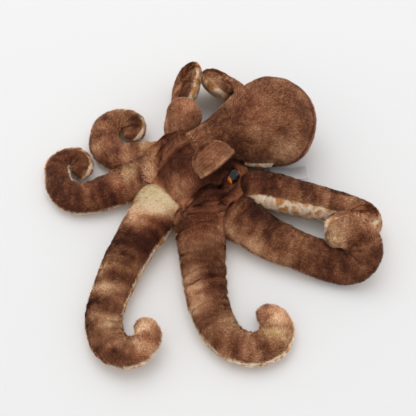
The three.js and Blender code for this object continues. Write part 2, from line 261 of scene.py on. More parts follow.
def arm_directions(arm, s):
    bent = np.clip((s - arm["bend_span"][0]) / (arm["bend_span"][1] - arm["bend_span"][0]), 0, 1)
    curled = np.clip((s - arm["curl_span"][0]) / (arm["curl_span"][1] - arm["curl_span"][0]), 0, 1)
    heading = np.radians(arm["heading"] + arm["bend"] * bent)
    turn = np.radians(arm["curl"] * curled ** arm["tight"])
    rolled = ease((s - arm["roll_from"]) / arm["roll_length"])
    rolled = rolled - arm["unroll"] * ease((s - arm["curl_span"][0] + 10) / 40)
    roll = math.radians(arm["roll"]) * rolled * np.sign(arm["curl"])
    ahead = np.stack([np.cos(heading), np.sin(heading), 0 * heading], 1)
    left = np.stack([-np.sin(heading) * np.cos(roll), np.cos(heading) * np.cos(roll), np.sin(roll)], 1)
    along = ahead * np.cos(turn)[:, None] + left * np.sin(turn)[:, None]
    side = -ahead * np.sin(turn)[:, None] + left * np.cos(turn)[:, None]
    return along, side, np.cross(along, side), roll, turn


def arm_stations(arm, s):
    """Middles, directions and half sizes of the arm's outline at the distances s."""
    step = 0.5
    fine = np.arange(0, arm["length"] + step, step)
    along = arm_directions(arm, fine[:-1] + step / 2)[0]
    root = math.radians(arm["root"])
    course = np.vstack([[0, 0, 0], np.cumsum(along * step, axis=0)])
    course += np.array([RING * math.cos(root), RING * math.sin(root), 0])
    along, side, top, roll, turn = arm_directions(arm, s)
    wide, narrow = arm["width"]
    half_width = (wide + (narrow - wide) * np.clip(s / arm["thin_at"], 0, 1) ** ARM_SHRINK) / 2
    at_root, at_tip = arm["flare"]
    half_width += at_root / 2 * (1 - ease(s / 50)) + at_tip / 2 * ease((s - arm["length"] + 60) / 40)
    swell = ROOT_SWELL * (1 - ease(s / ROOT_SWELL_LENGTH))
    half_depth = half_width * arm["flatness"] + swell / 2
    rest = np.hypot(half_width * np.sin(roll), half_depth * np.cos(roll))
    middle = np.stack([np.interp(s, fine, course[:, i]) for i in range(3)], 1)
    middle[:, 2] += rest - 0.8
    return dict(middle=middle, along=along, side=side, top=top, turn=turn,
                half_width=half_width, half_depth=half_depth)


def grid_normals(grid):
    """Outward unit normals of a skin given as rows of closed rings."""
    down = np.gradient(grid, axis=0)
    round_ = np.roll(grid, -1, axis=1) - np.roll(grid, 1, axis=1)
    normal = unit(np.cross(round_, down))
    outward = grid - grid.mean(axis=1, keepdims=True)
    if (normal * outward).sum() < 0:
        normal = -normal
    return normal


def pushed(grid, normal, push):
    """A skin pushed out along its normals, kept from going through the table."""
    flat = grid.reshape(-1, 3) + normal.reshape(-1, 3) * push[:, None]
    flat[:, 2] = np.maximum(flat[:, 2], TABLE_GAP)
    return flat.reshape(grid.shape)


def write_mark(mesh, mark, values):
    layer = mesh.attributes.new(mark, "FLOAT", "POINT")
    layer.data.foreach_set("value", np.asarray(values, np.float32))


def cloth_marks(grid, colouring):
    """The marks of a cloth, which lies at the foot of its own pile and so takes the painted
    pile shading of a place a quarter of the way up a strand.
    """
    shape = grid.shape[:2]
    tone, tint, belly = (values.reshape(shape) for values in colouring(grid.reshape(-1, 3)))
    return dict(tone=tone, tint=tint, belly=belly,
                strand=np.full(shape, 0.5), rise=np.full(shape, 0.25))


def sew(name, grid, marks, cloth):
    """A closed skin through rows of rings, with its end rows drawn to a point."""
    rows, columns, _ = grid.shape
    points = np.vstack([grid.reshape(-1, 3), grid[0].mean(axis=0), grid[-1].mean(axis=0)])
    index = np.arange(rows * columns).reshape(rows, columns)
    following = np.roll(index, -1, axis=1)
    walls = np.stack([index[:-1], following[:-1], following[1:], index[1:]], 2).reshape(-1, 4)
    near = np.stack([following[0], index[0], np.full(columns, rows * columns)], 1)
    far = np.stack([index[-1], following[-1], np.full(columns, rows * columns + 1)], 1)
    mesh = bpy.data.meshes.new(name)
    faces = walls.tolist() + near.tolist() + far.tolist()
    mesh.from_pydata(to_scene(points).tolist(), [], faces)
    normal = grid_normals(grid)
    half = rows // 2
    turn = np.cross(grid[half, 1] - grid[half, 0], grid[half + 1, 0] - grid[half, 0])
    if turn @ normal[half, 0] < 0:
        mesh.flip_normals()
    for mark, values in marks.items():
        ends = [values[0].mean(), values[-1].mean()]
        write_mark(mesh, mark, np.concatenate([values.reshape(-1), ends]))
    mesh.shade_smooth()
    mesh.materials.append(cloth)
    piece = put(name, mesh)
    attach(piece, "root")
    return piece


def shade(red, green, blue):
    """A colour given as it is seen, from 0 to 255, as the shader wants it."""
    values = [channel / 255 for channel in (red, green, blue)]
    return tuple(v / 12.92 if v <= 0.04045 else ((v + 0.055) / 1.055) ** 2.4 for v in values) + (1.0,)


class Finish:
    """A material being put together, one node at a time."""

    def __init__(self, name):
        self.material = bpy.data.materials.new(name)
        self.material.use_nodes = True
        self.tree = self.material.node_tree
        self.shader = self.tree.nodes["Principled BSDF"]

    def node(self, kind, **settings):
        made = self.tree.nodes.new(kind)
        for key, value in settings.items():
            setattr(made, key, value)
        return made

    def join(self, source, target):
        self.tree.links.new(source, target)

    def mark(self, name):
        return self.node("ShaderNodeAttribute", attribute_name=name).outputs["Fac"]

    def feed(self, socket, value):
        if isinstance(value, (int, float, tuple)):
            socket.default_value = value
        else:
            self.join(value, socket)

    def set(self, name, value):
        self.feed(self.shader.inputs[name], value)

    def sum(self, operation, first, second, clamp=False):
        made = self.node("ShaderNodeMath", operation=operation, use_clamp=clamp)
        self.feed(made.inputs[0], first)
        self.feed(made.inputs[1], second)
        return made.outputs[0]

    def mix(self, share, first, second, blend="MIX"):
        made = self.node("ShaderNodeMix", data_type="RGBA", blend_type=blend)
        self.feed(made.inputs[0], share)
        self.feed(made.inputs[6], first)
        self.feed(made.inputs[7], second)
        return made.outputs[2]

    def noise(self, place, scale, detail=2):
        made = self.node("ShaderNodeTexNoise")
        made.inputs["Scale"].default_value = scale
        made.inputs["Detail"].default_value = detail
        self.join(place, made.inputs["Vector"])
        return made.outputs

    def ramp(self, share, stops):
        made = self.node("ShaderNodeValToRGB")
        elements = made.color_ramp.elements
        while len(elements) < len(stops):
            elements.new(0.5)
        for element, (place, colour) in zip(elements, stops):
            element.position = place
            element.color = shade(*colour)
        self.join(share, made.inputs[0])
        return made.outputs["Color"]


def plush(name, sheen):
    """Short velvety pile, dyed in blotches on top and printed with tan spots on a cream ground
    below. The marks tone, tint and belly say how a place is coloured: dye, and on some pieces
    painted highlight and painted shade too. rise runs from a strand's root to its tip, and the
    colour is darkened at the root as painted shade among the strands and brightened towards the
    tip as painted sheen. strand differs from one strand to the next."""
    finish = Finish(name)
    place = finish.node("ShaderNodeTexCoord").outputs["Object"]
    mottle = finish.noise(place, 260, 3)["Fac"]
    strand = finish.sum("MULTIPLY", finish.sum("SUBTRACT", finish.mark("strand"), 0.5), 0.34)
    speckle = finish.sum("MULTIPLY", finish.sum("SUBTRACT", mottle, 0.5), 0.28)
    tone = finish.sum("ADD", finish.sum("ADD", finish.mark("tone"), strand), speckle, clamp=True)
    brown = finish.ramp(tone, [
        (0.00, (62, 32, 22)),
        (0.20, (100, 57, 39)),
        (0.38, (140, 89, 62)),
        (0.56, (178, 127, 92)),
        (0.76, (214, 173, 134)),
        (1.00, (240, 217, 181)),
    ])
    green = finish.sum("MULTIPLY", finish.mark("tint"), 0.75, clamp=True)
    pink = finish.sum("MULTIPLY", finish.mark("tint"), -0.75, clamp=True)
    brown = finish.mix(green, brown, shade(228, 232, 196), "MULTIPLY")
    brown = finish.mix(pink, brown, shade(255, 218, 208), "MULTIPLY")

    spots = finish.node("ShaderNodeTexVoronoi", feature="DISTANCE_TO_EDGE")
    spots.inputs["Scale"].default_value = 105
    shifted = finish.node("ShaderNodeVectorMath", operation="MULTIPLY_ADD")
    finish.join(finish.noise(place, 300)["Color"], shifted.inputs[0])
    shifted.inputs[1].default_value = (0.004, 0.004, 0.004)
    finish.join(place, shifted.inputs[2])
    finish.join(shifted.outputs[0], spots.inputs["Vector"])
    spread = finish.sum("ADD", spots.outputs["Distance"], finish.sum("MULTIPLY", strand, 0.15))
    cream = finish.ramp(spread, [
        (0.00, (252, 234, 212)),
        (0.11, (250, 226, 199)),
        (0.18, (226, 168, 106)),
        (0.45, (208, 142, 82)),
    ])
    colour = finish.mix(finish.mark("belly"), brown, cream)
    # Painted shade and sheen in the pile: the colour is darkened at a strand's root and brightened towards
    # its tip.
    depth = finish.sum("MULTIPLY_ADD", finish.mark("rise"), 0.85)
    depth.node.inputs[2].default_value = 0.80
    shaded = finish.node("ShaderNodeCombineColor")
    for channel in range(3):
        finish.join(depth, shaded.inputs[channel])
    colour = finish.mix(1.0, colour, shaded.outputs[0], "MULTIPLY")
    finish.set("Base Color", colour)
    finish.set("Roughness", 0.85)
    finish.set("Specular IOR Level", 0.15)
    finish.set("Sheen Weight", sheen)
    finish.set("Sheen Roughness", 0.45)
    finish.set("Sheen Tint", shade(236, 205, 178))
    nap = finish.node("ShaderNodeBump")
    nap.inputs["Strength"].default_value = 0.5
    nap.inputs["Distance"].default_value = 0.0006
    finish.join(finish.noise(place, 1400)["Fac"], nap.inputs["Height"])
    finish.set("Normal", nap.outputs["Normal"])
    return finish.material


PLUSH = plush("plush", 0.10)
PILE = plush("plush_pile", 0.16)
coats = []        # what the pile needs to know of each piece; lie None is along the piece
gaps = {}         # how far a place lies outside each arm


def arm_tip(arm):
    """Half the width of the cloth at the tip."""
    return (arm["width"][1] + arm["flare"][1]) / 2 - PILE_DEPTH


def arm_rows(arm):
    tip = arm_tip(arm)
    root = arm["round_root"]
    start = arm["start"]
    end = arm["length"] - PILE_DEPTH
    cap = end - tip * (1 - np.sin(np.linspace(0, math.pi / 2, 11)[:-1]))
    crown = start + root * (1 - np.cos(np.linspace(0.25, math.pi / 2, 8)))
    count = int((cap[0] - crown[-1]) / ROW_STEP)
    body = np.linspace(crown[-1], cap[0], count + 1)[1:-1]
    return np.concatenate([crown, body, cap])


def arm_seams(arm, s):
    """Angles round the arm of its left and right seams at the distances s."""
    share = ease((s / arm["length"] - arm["lap_from"]) / 0.4)
    left = np.radians(arm["lap"][0] + (arm["lap"][2] - arm["lap"][0]) * share)
    right = np.radians(arm["lap"][1] + (arm["lap"][3] - arm["lap"][1]) * share)
    return -left, math.pi + right


def arm_dye_and_sheen(arm, seed, s, angle, points):
    """Tone, tint and belly of the arm's cloth at places along and around it."""
    across = np.cos(angle)
    tone = arm["tone"] + 0.14 * ripple(points, 24, seed) + 0.05 * ripple(points, 9, seed + 1)
    bands = ripple(np.stack([s + 4 * across], 1), 18, seed + 2)
    streaks = ripple(np.stack([s, 6 * across], 1), 5.5, seed + 8)
    tone += 0.11 * bands + 0.08 * streaks
    tint = 0.35 * ripple(points, 30, seed + 3)
    for distance, place, half_length, half_breadth, lighter, greener in arm["colouring"]:
        share = bump(s - distance, half_length) * bump(across - place, half_breadth)
        tone += lighter * share
        tint += greener * share
    left, right = arm_seams(arm, s)
    ragged = angle + 0.05 * ripple(points, 5, seed + 7)
    belly = ((ragged > right) & (ragged < left + 2 * math.pi)) | (ragged < left)
    girth = np.interp(s, (0, arm["thin_at"]), arm["width"]) * 0.4
    off = np.minimum(apart(angle, left), apart(angle, right)) * girth
    # Paler along the seams: partly the paler fringe where the pile turns at the seam, partly painted rim
    # sheen.
    tone += 0.15 * bump(off, 3.2) + 0.26 * bump(off, 1.2)
    return tone, tint, belly.astype(float)


def make_arm(arm, seed):
    s = arm_rows(arm)
    at = arm_stations(arm, s)
    tip = arm_tip(arm)
    end = arm["length"] - PILE_DEPTH
    closing = np.sqrt(1 - np.clip((s - (end - tip)) / tip, 0, 1) ** 2)
    opening = np.sqrt(1 - np.clip(1 - (s - arm["start"]) / arm["round_root"], 0, 1) ** 2)
    trim = np.maximum(closing * opening, 0.05)
    width = (at["half_width"] - PILE_DEPTH) * trim
    depth = (at["half_depth"] - PILE_DEPTH) * trim
    angle = turns(COLUMNS)
    grid = (at["middle"][:, None]
            + at["side"][:, None] * (width[:, None] * np.cos(angle))[:, :, None]
            + at["top"][:, None] * (depth[:, None] * np.sin(angle))[:, :, None])
    normal = grid_normals(grid)

    flat = grid.reshape(-1, 3)
    s_all = np.repeat(s, COLUMNS)
    angle_all = np.tile(angle, len(s))
    swell = 0.45 * ripple(flat, 20, seed + 4) + 0.22 * ripple(flat, 8, seed + 5)
    bending = np.abs(np.gradient(at["turn"], s))
    bending = np.repeat(np.clip(bending / 0.065, 0, 1.1), COLUMNS)
    inner = 0.5 + 0.5 * np.cos(angle_all) * np.sign(arm["curl"])
    phase = 1.6 * ripple(np.stack([s_all, 3 * np.cos(angle_all)], 1), 30, seed + 6)
    gather = (0.5 + 0.5 * np.cos(2 * math.pi * s_all / GATHER_PITCH + phase)) ** 3
    swell -= GATHER_DEPTH * bending * inner ** 1.4 * gather
    for distance, deep, half_width, slant in arm["creases"]:
        off = s_all - distance - slant * np.cos(angle_all)
        upper = ease(np.sin(angle_all) * 1.6 + 0.5)
        banks = 0.45 * bump(np.abs(off) - 2.4 * half_width, 1.3 * half_width)
        swell -= upper * deep * (bump(off, half_width) - banks)
    deep_all = np.repeat(depth, COLUMNS)
    for seam in arm_seams(arm, s_all):
        off = apart(angle_all, seam) * deep_all
        swell -= SEAM_DEPTH * bump(off, 1.2)
        swell -= 0.25 * bump(off, 4) * np.cos(2 * math.pi * s_all / STITCH_PITCH + 2 * phase)
    grid = pushed(grid, normal, swell * np.repeat(trim, COLUMNS))
    marks = cloth_marks(grid, lambda points: arm_dye_and_sheen(arm, seed, s_all, angle_all, points))
    piece = sew(arm["name"] + "_cloth", grid, marks, PLUSH)
    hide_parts(*(arm["name"] + part for part in ("_base", "_middle", "_tip")))

    def colouring(row, column, points):
        distance = np.interp(row, np.arange(len(s)), s)
        return arm_dye_and_sheen(arm, seed, distance, column * 2 * math.pi / COLUMNS, points)

    def unwrap(row, column):
        return np.interp(row, np.arange(len(s)), s) / arm["length"], column / COLUMNS

    def edge(row, column):
        turn = column * 2 * math.pi / COLUMNS
        left, right = arm_seams(arm, np.interp(row, np.arange(len(s)), s))
        off = np.minimum(apart(turn, left), apart(turn, right))
        return off * np.interp(row, np.arange(len(s)), depth)

    core = arm_stations(arm, np.arange(arm["start"] + 4, end - 3, 3.0))

    def gap(points):
        """How far outside the cloth points lie, in millimetres, and far for points nowhere near."""
        distance = np.full(len(points), NOWHERE_NEAR)
        low = core["middle"].min(axis=0) - 40
        high = core["middle"].max(axis=0) + 40
        close = np.flatnonzero(((points > low) & (points < high)).all(axis=1))
        for chosen in np.array_split(close, max(1, len(close) // 4000)):
            off = points[chosen][:, None] - core["middle"][None]
            nearest = (off ** 2).sum(axis=2).argmin(axis=1)
            off = off[np.arange(len(chosen)), nearest]
            wide = core["half_width"][nearest] - PILE_DEPTH
            deep = core["half_depth"][nearest] - PILE_DEPTH
            x = (off * core["side"][nearest]).sum(axis=1)
            y = (off * core["top"][nearest]).sum(axis=1)
            z = (off * core["along"][nearest]).sum(axis=1)
            share = np.maximum(np.hypot(x / wide, y / deep), 1e-3)
            outside = np.hypot(x, y) * (1 - 1 / share)
            past = np.abs(z) - 3
            distance[chosen] = np.where(past < 0, outside, np.hypot(np.maximum(outside, 0), past))
        return distance

    gaps[arm["name"]] = gap
    coats.append(dict(
        name=arm["name"] + "_pile", grid=grid, normal=grid_normals(grid), colouring=colouring, unwrap=unwrap,
        edge=edge, holds=lambda points, clear: gap(points) < -clear,
        density=1.9, length=2.3, width=0.55, slot="brown_plush", lie=None))


for number, arm in enumerate(ARMS):
    make_arm(arm, 100 + 10 * number)

# ------ head
# One stuffed dome of brown plush sewn to the roots of the arms. A seam runs down the forehead
# as a ridge, and on the left cheek the cloth has slumped into plump folds.

HEAD_RADII = (55.0, 46.0)
HEAD_HEIGHT = 62.0
HEAD_FULLNESS = 0.62
HEAD_COLUMNS = 280
HEAD_ROWS = 130
HEAD_SEED = 300

BROW_CENTRES = {"left": (25.0, 0.0, 54.5), "right": (-29.5, -0.5, 55.0)}
BROW_RADII = {"left": (17.0, 19.5, 20.0), "right": (17.0, 15.0, 20.0)}

# Folds run through places given as (angle round the head, height). Each is (places, how far it
# stands out, half width).
FOLDS = [
    ([(-43, 31), (-35, 38), (-23, 43), (-9, 45), (13, 41)], -4.4, 1.6),
    ([(-40, 30), (-32, 35), (-19, 40.5), (-6, 41), (14, 37.5)], 3.0, 3.4),
    ([(-31, 33), (-17, 35), (-5, 33.5), (9, 33), (19, 34)], -4.2, 1.5),
    ([(-41, 27.5), (-26, 31.5), (-8, 30.5), (1, 30), (16, 30)], 2.8, 3.0),
    ([(-36, 28), (-19, 27), (-10, 25.5), (4, 26), (13, 26)], -4.2, 1.5),
    ([(-31, 24), (-11, 21.5), (4, 21), (18, 21)], 3.0, 3.2),
    ([(-20, 22), (-2, 15.5), (15, 13), (25, 11)], -4.0, 1.6),
    ([(12, 25), (26, 27), (44, 24), (52, 24)], 2.4, 2.8),
    ([(37, 31), (21, 33), (10, 31)], -3.0, 1.5),
    ([(35, 16), (22, 13), (5, 13)], -3.0, 1.6),
    ([(53, 28), (51, 21), (53, 9)], -3.0, 1.6),
    ([(-97, 23), (-81, 24), (-63, 26), (-44, 29)], -2.6, 1.6),
    ([(-92, 29), (-76, 30), (-60, 32)], 1.4, 5.0),
    ([(60, 31), (55, 23), (50, 15), (46, 8)], 6.0, 4.0),
    ([(52, 13), (47, 8), (44, 3)], 9.0, 5.5),
    ([(6, 44), (18, 46.5), (30, 46.5), (40, 43)], 3.0, 3.0),
]

# The head's cloth runs out over what is sewn to it: (distance, softness) for each neighbour.
DRAPES = {
    "arm_right_1": (14.0, 9.0),
    "arm_left_2": (13.0, 8.0),
    "arm_left_3": (14.0, 8.0),
    "brow_right": (13.0, 11.0),
}


def head_place(azimuth, height):
    share = np.clip(np.asarray(height) / HEAD_HEIGHT, 0, 1)
    reach = (1 - share ** 2) ** HEAD_FULLNESS
    return np.stack([
        HEAD_FROM_RING[0] + (HEAD_RADII[0] - PILE_DEPTH) * reach * np.cos(azimuth),
        HEAD_FROM_RING[1] + (HEAD_RADII[1] - PILE_DEPTH) * reach * np.sin(azimuth),
        share * (HEAD_HEIGHT - PILE_DEPTH),
    ], -1)


def way(places):
    """Points a millimetre or so apart along a fold through the given places."""
    azimuths, heights = np.array(places, float).T
    steps = np.linspace(0, len(places) - 1, 40)
    at = np.arange(len(places))
    return head_place(np.radians(np.interp(steps, at, azimuths)), np.interp(steps, at, heights))


def near_way(points, line):
    """How far points lie from a line of points."""
    distance = np.full(len(points), 1e9)
    for chosen in np.array_split(np.arange(len(points)), 12):
        off = np.linalg.norm(points[chosen][:, None] - line[None], axis=2)
        distance[chosen] = off.min(axis=1)
    return distance


def head_dye_and_shading(points):
    tone = 0.12 + 0.08 * ripple(points, 24, HEAD_SEED) + 0.06 * ripple(points, 8, HEAD_SEED + 1)
    # Paler lower down: partly the paler dye of the lower cheek, partly painted light that lifts the shade
    # among the low folds.
    tone += 0.24 * ease((42 - points[:, 2]) / 14)
    tint = 0.2 * ripple(points, 30, HEAD_SEED + 2) - 0.45
    # Paler right of the forehead seam than left of it: partly dye, partly painted shade on the left side
    # of the seam.
    forehead = ease((2.5 - points[:, 0]) / 3)
    tone += 0.26 * forehead
    tone += 0.10 * bump(gaps["arm_right_1"](points), 10) * forehead
    cheek = bump(np.linalg.norm((points - (28, -34, 41)) * (0.8, 0.8, 1), axis=1), 11)
    tone += 0.40 * cheek
    tint += 0.4 * cheek
    # Darker about a spot below the left hood, beside the eye: partly dark cloth, partly painted shade
    # under the hood's hem.
    tone -= 0.10 * bump(far_from((38, -6, 42), points), 16)
    # Painted highlight: the crests of the raised folds are paler, where they catch the light.
    for places, out, half_width in FOLDS:
        if out > 0:
            tone += 0.10 * bump(near_way(points, way(places)), half_width)
    return tone, tint, np.zeros(len(points))


heights = HEAD_HEIGHT * np.sin(np.linspace(0.0, math.pi / 2, HEAD_ROWS))[:-1]
head_grid = head_place(turns(HEAD_COLUMNS)[None, :], heights[:, None] * np.ones((1, HEAD_COLUMNS)))
head_normal = grid_normals(head_grid)
flat = head_grid.reshape(-1, 3)
push = 0.5 * ripple(flat, 24, HEAD_SEED + 4) + 0.25 * ripple(flat, 9, HEAD_SEED + 5)
for places, out, half_width in FOLDS:
    push += out * bump(near_way(flat, way(places)), half_width)
forehead = ease((-flat[:, 1] - 2) / 8) * ease((flat[:, 2] - 36) / 12)
push += forehead * 2.4 * ease((1.8 - flat[:, 0]) / 1.6) * bump(np.minimum(flat[:, 0], 0), 14)
push -= forehead * 2.2 * ease((flat[:, 0] - 0.2) / 1.6) * bump(np.maximum(flat[:, 0] - 4, 0), 9)


def right_hood_gap(points):
    off = (points - np.array(BROW_CENTRES["right"])) / (np.array(BROW_RADII["right"]) - PILE_DEPTH)
    return (np.linalg.norm(off, axis=1) - 1) * BROW_RADII["right"][0]


def drape(points, outward, gap, soft, most):
    """How far cloth at points must be pushed outward to run smoothly up onto a neighbour."""
    rise = -gap(points)
    for _ in range(6):
        rise = np.where(rise > 0, rise - np.minimum(gap(points + outward * rise[:, None]), 0), rise)
    share = np.clip(0.5 + 0.5 * rise / soft, 0, 1)
    wanted = rise * share + soft * share * (1 - share)
    return most * np.tanh(wanted / most)


outward = head_normal.reshape(-1, 3)
shares = {
    "arm_right_1": ease((6 - flat[:, 0]) / 8),
    "arm_left_2": ease((flat[:, 0] - 30) / 12) * ease((flat[:, 2] - 12) / 12),
    "arm_left_3": ease((flat[:, 0] - 34) / 6) * ease((flat[:, 2] - 8) / 10),
    "brow_right": ease((-8 - flat[:, 0]) / 6),
}
over = np.zeros(len(flat))
for neighbour, (most, soft) in DRAPES.items():
    gap = right_hood_gap if neighbour == "brow_right" else gaps[neighbour]
    over = np.maximum(over, drape(flat, outward, gap, soft, most) * shares[neighbour])
head_grid = pushed(head_grid, head_normal, push + over)
head = sew("head_cloth", head_grid, cloth_marks(head_grid, head_dye_and_shading), PLUSH)
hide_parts("head")


def in_head(points, clear):
    share = np.clip(points[:, 2] / (HEAD_HEIGHT - PILE_DEPTH - clear), 0, 1)
    reach = (1 - share ** 2) ** HEAD_FULLNESS
    x = (points[:, 0] - HEAD_FROM_RING[0]) / (HEAD_RADII[0] - PILE_DEPTH - clear)
    y = (points[:, 1] - HEAD_FROM_RING[1]) / (HEAD_RADII[1] - PILE_DEPTH - clear)
    return (share < 1) & (np.hypot(x, y) < reach)


def disc(radius, turn):
    """Places on the unwrap of a round piece, at shares of its radius."""
    return 0.5 + radius * np.cos(turn), 0.5 + radius * np.sin(turn)


coats.append(dict(
    name="head_pile", grid=head_grid, normal=grid_normals(head_grid),
    colouring=lambda row, column, points: head_dye_and_shading(points),
    unwrap=lambda row, column: disc(0.49 * (1 - row / HEAD_ROWS), column * 2 * math.pi / HEAD_COLUMNS),
    edge=None, holds=lambda points, clear: in_head(points, clear + 1.5),
    density=2.4, length=1.8, width=0.45, slot="brown_plush", lie=(0.0, 0.0, 1.0)))

# ------ eye hoods
# Two stuffed hoods of paler plush sewn to the head over the eyes. Each is a ball whose outer,
# lower side is folded in under a straight hem, so that the eye looks out from its shadow.

HEM_FACING = {"left": (0.79, 0.28, -0.54), "right": (-0.62, 0.26, -0.74)}
HEM_REACH = 4.5
HOOD_DEPTH = 9.0
HOOD_ROWS = 70
HOOD_COLUMNS = 120


def make_hood(side, seed):
    mirror = 1 if side == "left" else -1
    facing = unit(np.array(HEM_FACING[side]))
    first = unit(np.cross(facing, (0, 0, 1)))
    second = np.cross(facing, first)
    centre = np.array(BROW_CENTRES[side])
    radii = np.array(BROW_RADII[side]) - PILE_DEPTH
    polar = np.linspace(0.02, math.pi - 0.02, HOOD_ROWS)
    turn = turns(HOOD_COLUMNS)
    ring = first * np.cos(turn)[:, None] + second * np.sin(turn)[:, None]
    direction = facing * np.cos(polar)[:, None, None] + ring[None] * np.sin(polar)[:, None, None]
    grid = centre + direction * radii
    out = (grid - centre) @ facing
    over = np.clip(out - HEM_REACH, 0, None)
    most = over.max()
    inward = ease(over / most * 1.6)
    grid = grid - facing * (over + HOOD_DEPTH * inward * 0.9)[:, :, None]
    if side == "right":
        below = np.clip((centre[2] - grid[:, :, 2]) / radii[2], 0, 0.85)[:, :, None]
        upright = np.array((1.0, 1.0, 0.0)) * (1 / np.sqrt(1 - below ** 2) - 1)
        grid = grid + (grid - centre) * upright - below * np.array((3.0, 7.0, 14.0))
        grid[:, :, 1] += 0.14 * np.maximum(grid[:, :, 1] - centre[1], 0)
    normal = grid_normals(grid)
    flat = grid.reshape(-1, 3)
    push = 0.35 * ripple(flat, 14, seed) + 0.9 * bump(out.reshape(-1) - HEM_REACH + 1.2, 1.2)
    grid = pushed(grid, normal, push)
    under = ease((out.reshape(-1) - HEM_REACH) / 1.5)

    def colouring(points, hidden):
        tone = 0.48 + 0.08 * ripple(points, 12, seed + 1) + 0.07 * ripple(points, 5, seed + 2)
        reach = (points - centre) @ facing
        # Painted highlight along the lip of the hem.
        tone += 0.18 * bump(reach - HEM_REACH + 1, 3.0)
        if side == "left":
            tone += 0.05 * np.cos(2 * math.pi * reach / 2.6 + 2 * ripple(points, 9, seed + 3))
        tone -= 0.07 * bump(far_from(centre + (4 * mirror, -3, 15), points), 7)
        if side == "right":
            tone -= 0.24 * bump(far_from(centre + (-6, -10, 8), points), 7)
            tone -= 0.14 * ease((centre[2] + 2 - points[:, 2]) / 14)
        # The side folded in under the hem is darker: partly dark cloth, partly painted shade in the hollow
        # under the hem.
        tone -= 0.42 * hidden
        return tone, -0.35 + 0 * tone, np.zeros(len(points))

    marks = cloth_marks(grid, lambda points: colouring(points, under))
    piece = sew(f"brow_{side}_cloth", grid, marks, PLUSH)
    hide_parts(f"brow_{side}")
    hidden_rows = under.reshape(HOOD_ROWS, HOOD_COLUMNS).mean(axis=1)

    def holds(points, clear):
        off = (points - centre) / (radii - clear)
        return ((off ** 2).sum(axis=1) < 1) & ((points - centre) @ facing < HEM_REACH - clear)

    coats.append(dict(
        name=f"brow_{side}_pile", grid=grid, normal=grid_normals(grid),
        colouring=lambda row, column, points: colouring(points, np.interp(row, np.arange(HOOD_ROWS), hidden_rows)),
        unwrap=lambda row, column: disc(0.48 * row / HOOD_ROWS, column * 2 * math.pi / HOOD_COLUMNS),
        edge=None, holds=holds, density=3.0, length=1.6, width=0.4, slot="tan_plush",
        lie=facing))


for number, side in enumerate(("left", "right")):
    make_hood(side, 400 + 20 * number)

# ------ mantle
# A pear-shaped bag stuffed firm. A seam runs round its far side, a narrow cream gusset is let
# in low on the left, and its neck is gathered and sewn down behind the eye hoods.

NECK_Y = -10.0
MANTLE_END = 112.0
NECK_HEIGHT = 54.0
BULB_HEIGHT = 37.6
NECK_RADIUS = 15.0
BULB_RADIUS = 41.0
BULB_SHARE = 0.7
MANTLE_ROWS = 150
MANTLE_COLUMNS = 180
MANTLE_SEED = 500

# Patches of dye: (middle, how much paler, half width).
MANTLE_DYE = [
    ((6, 62, 78), 0.14, 13),
    ((38, 66, 42), 0.28, 16),
    ((22, 46, 67), 0.08, 12),
    ((31, 66, 64), -0.05, 10),
    ((13, 92, 71), -0.08, 14),
    ((-6, 44, 76), -0.10, 10),
    ((30, 92, 50), -0.06, 12),
]


def mantle_radius(share):
    grown = (0.5 - 0.5 * np.cos(np.pi * np.clip(share, 0, BULB_SHARE) / BULB_SHARE)) ** 1.2
    neck = NECK_RADIUS + (BULB_RADIUS - NECK_RADIUS) * grown
    past = np.clip((share - BULB_SHARE) / (1 - BULB_SHARE), 0, 1)
    return np.where(share > BULB_SHARE, BULB_RADIUS * np.sqrt(1 - past ** 2), neck)


def mantle_middle(share):
    height = NECK_HEIGHT + (BULB_HEIGHT - NECK_HEIGHT) * np.minimum(1, share * 1.5)
    height = height - 5 * (1 - ease(share / 0.16))
    return np.stack([0 * share, NECK_Y + (MANTLE_END - PILE_DEPTH - NECK_Y) * share, height], -1)


SEAM_FACING = np.array([0.22, -0.66, 0.72])
SEAM_MIDDLE = np.array([0.0, 73.0, 37.6])
SEAM_REACH = 1.0


def mantle_seam(points):
    """Signed distance of points from the seam round the far side of the mantle."""
    return (points - SEAM_MIDDLE) @ unit(SEAM_FACING) - SEAM_REACH


def mantle_gusset(points):
    """Goes from 0 to 1 inside the cream gusset."""
    along = ease((12 - np.abs(points[:, 1] - 43)) / 3)
    return along * ease((30 - points[:, 2]) / 2) * ease((points[:, 2] - 16) / 2) * (points[:, 0] > 8)


def mantle_dye(points):
    tone = 0.36 + 0.10 * ripple(points, 24, MANTLE_SEED) + 0.07 * ripple(points, 9, MANTLE_SEED + 1)
    tint = 0.3 * ripple(points, 36, MANTLE_SEED + 2) - 0.1
    for middle, lighter, half_width in MANTLE_DYE:
        tone += lighter * bump(far_from(middle, points), half_width)
    tone -= 0.08 * bump(points[:, 1] - 22, 14)
    veins = ease(1 - 7 * np.abs(ripple(points, 15, MANTLE_SEED + 6)))
    tone -= 0.10 * veins
    tint += 0.5 * bump(points[:, 1] - 18, 16)
    tone += 0.06 * ease(-mantle_seam(points) / 2)
    tone -= 0.34 * bump(mantle_seam(points), 2.0) * ease((points[:, 1] - 40) / 30)
    around = np.arctan2(points[:, 2] - 48, points[:, 0])
    tone += 0.5 * bump(points[:, 1] - NECK_Y - 2.5, 0.5) * ease(np.cos(around * 46) * 2)
    return tone, tint, (mantle_gusset(points) > 0.5).astype(float)


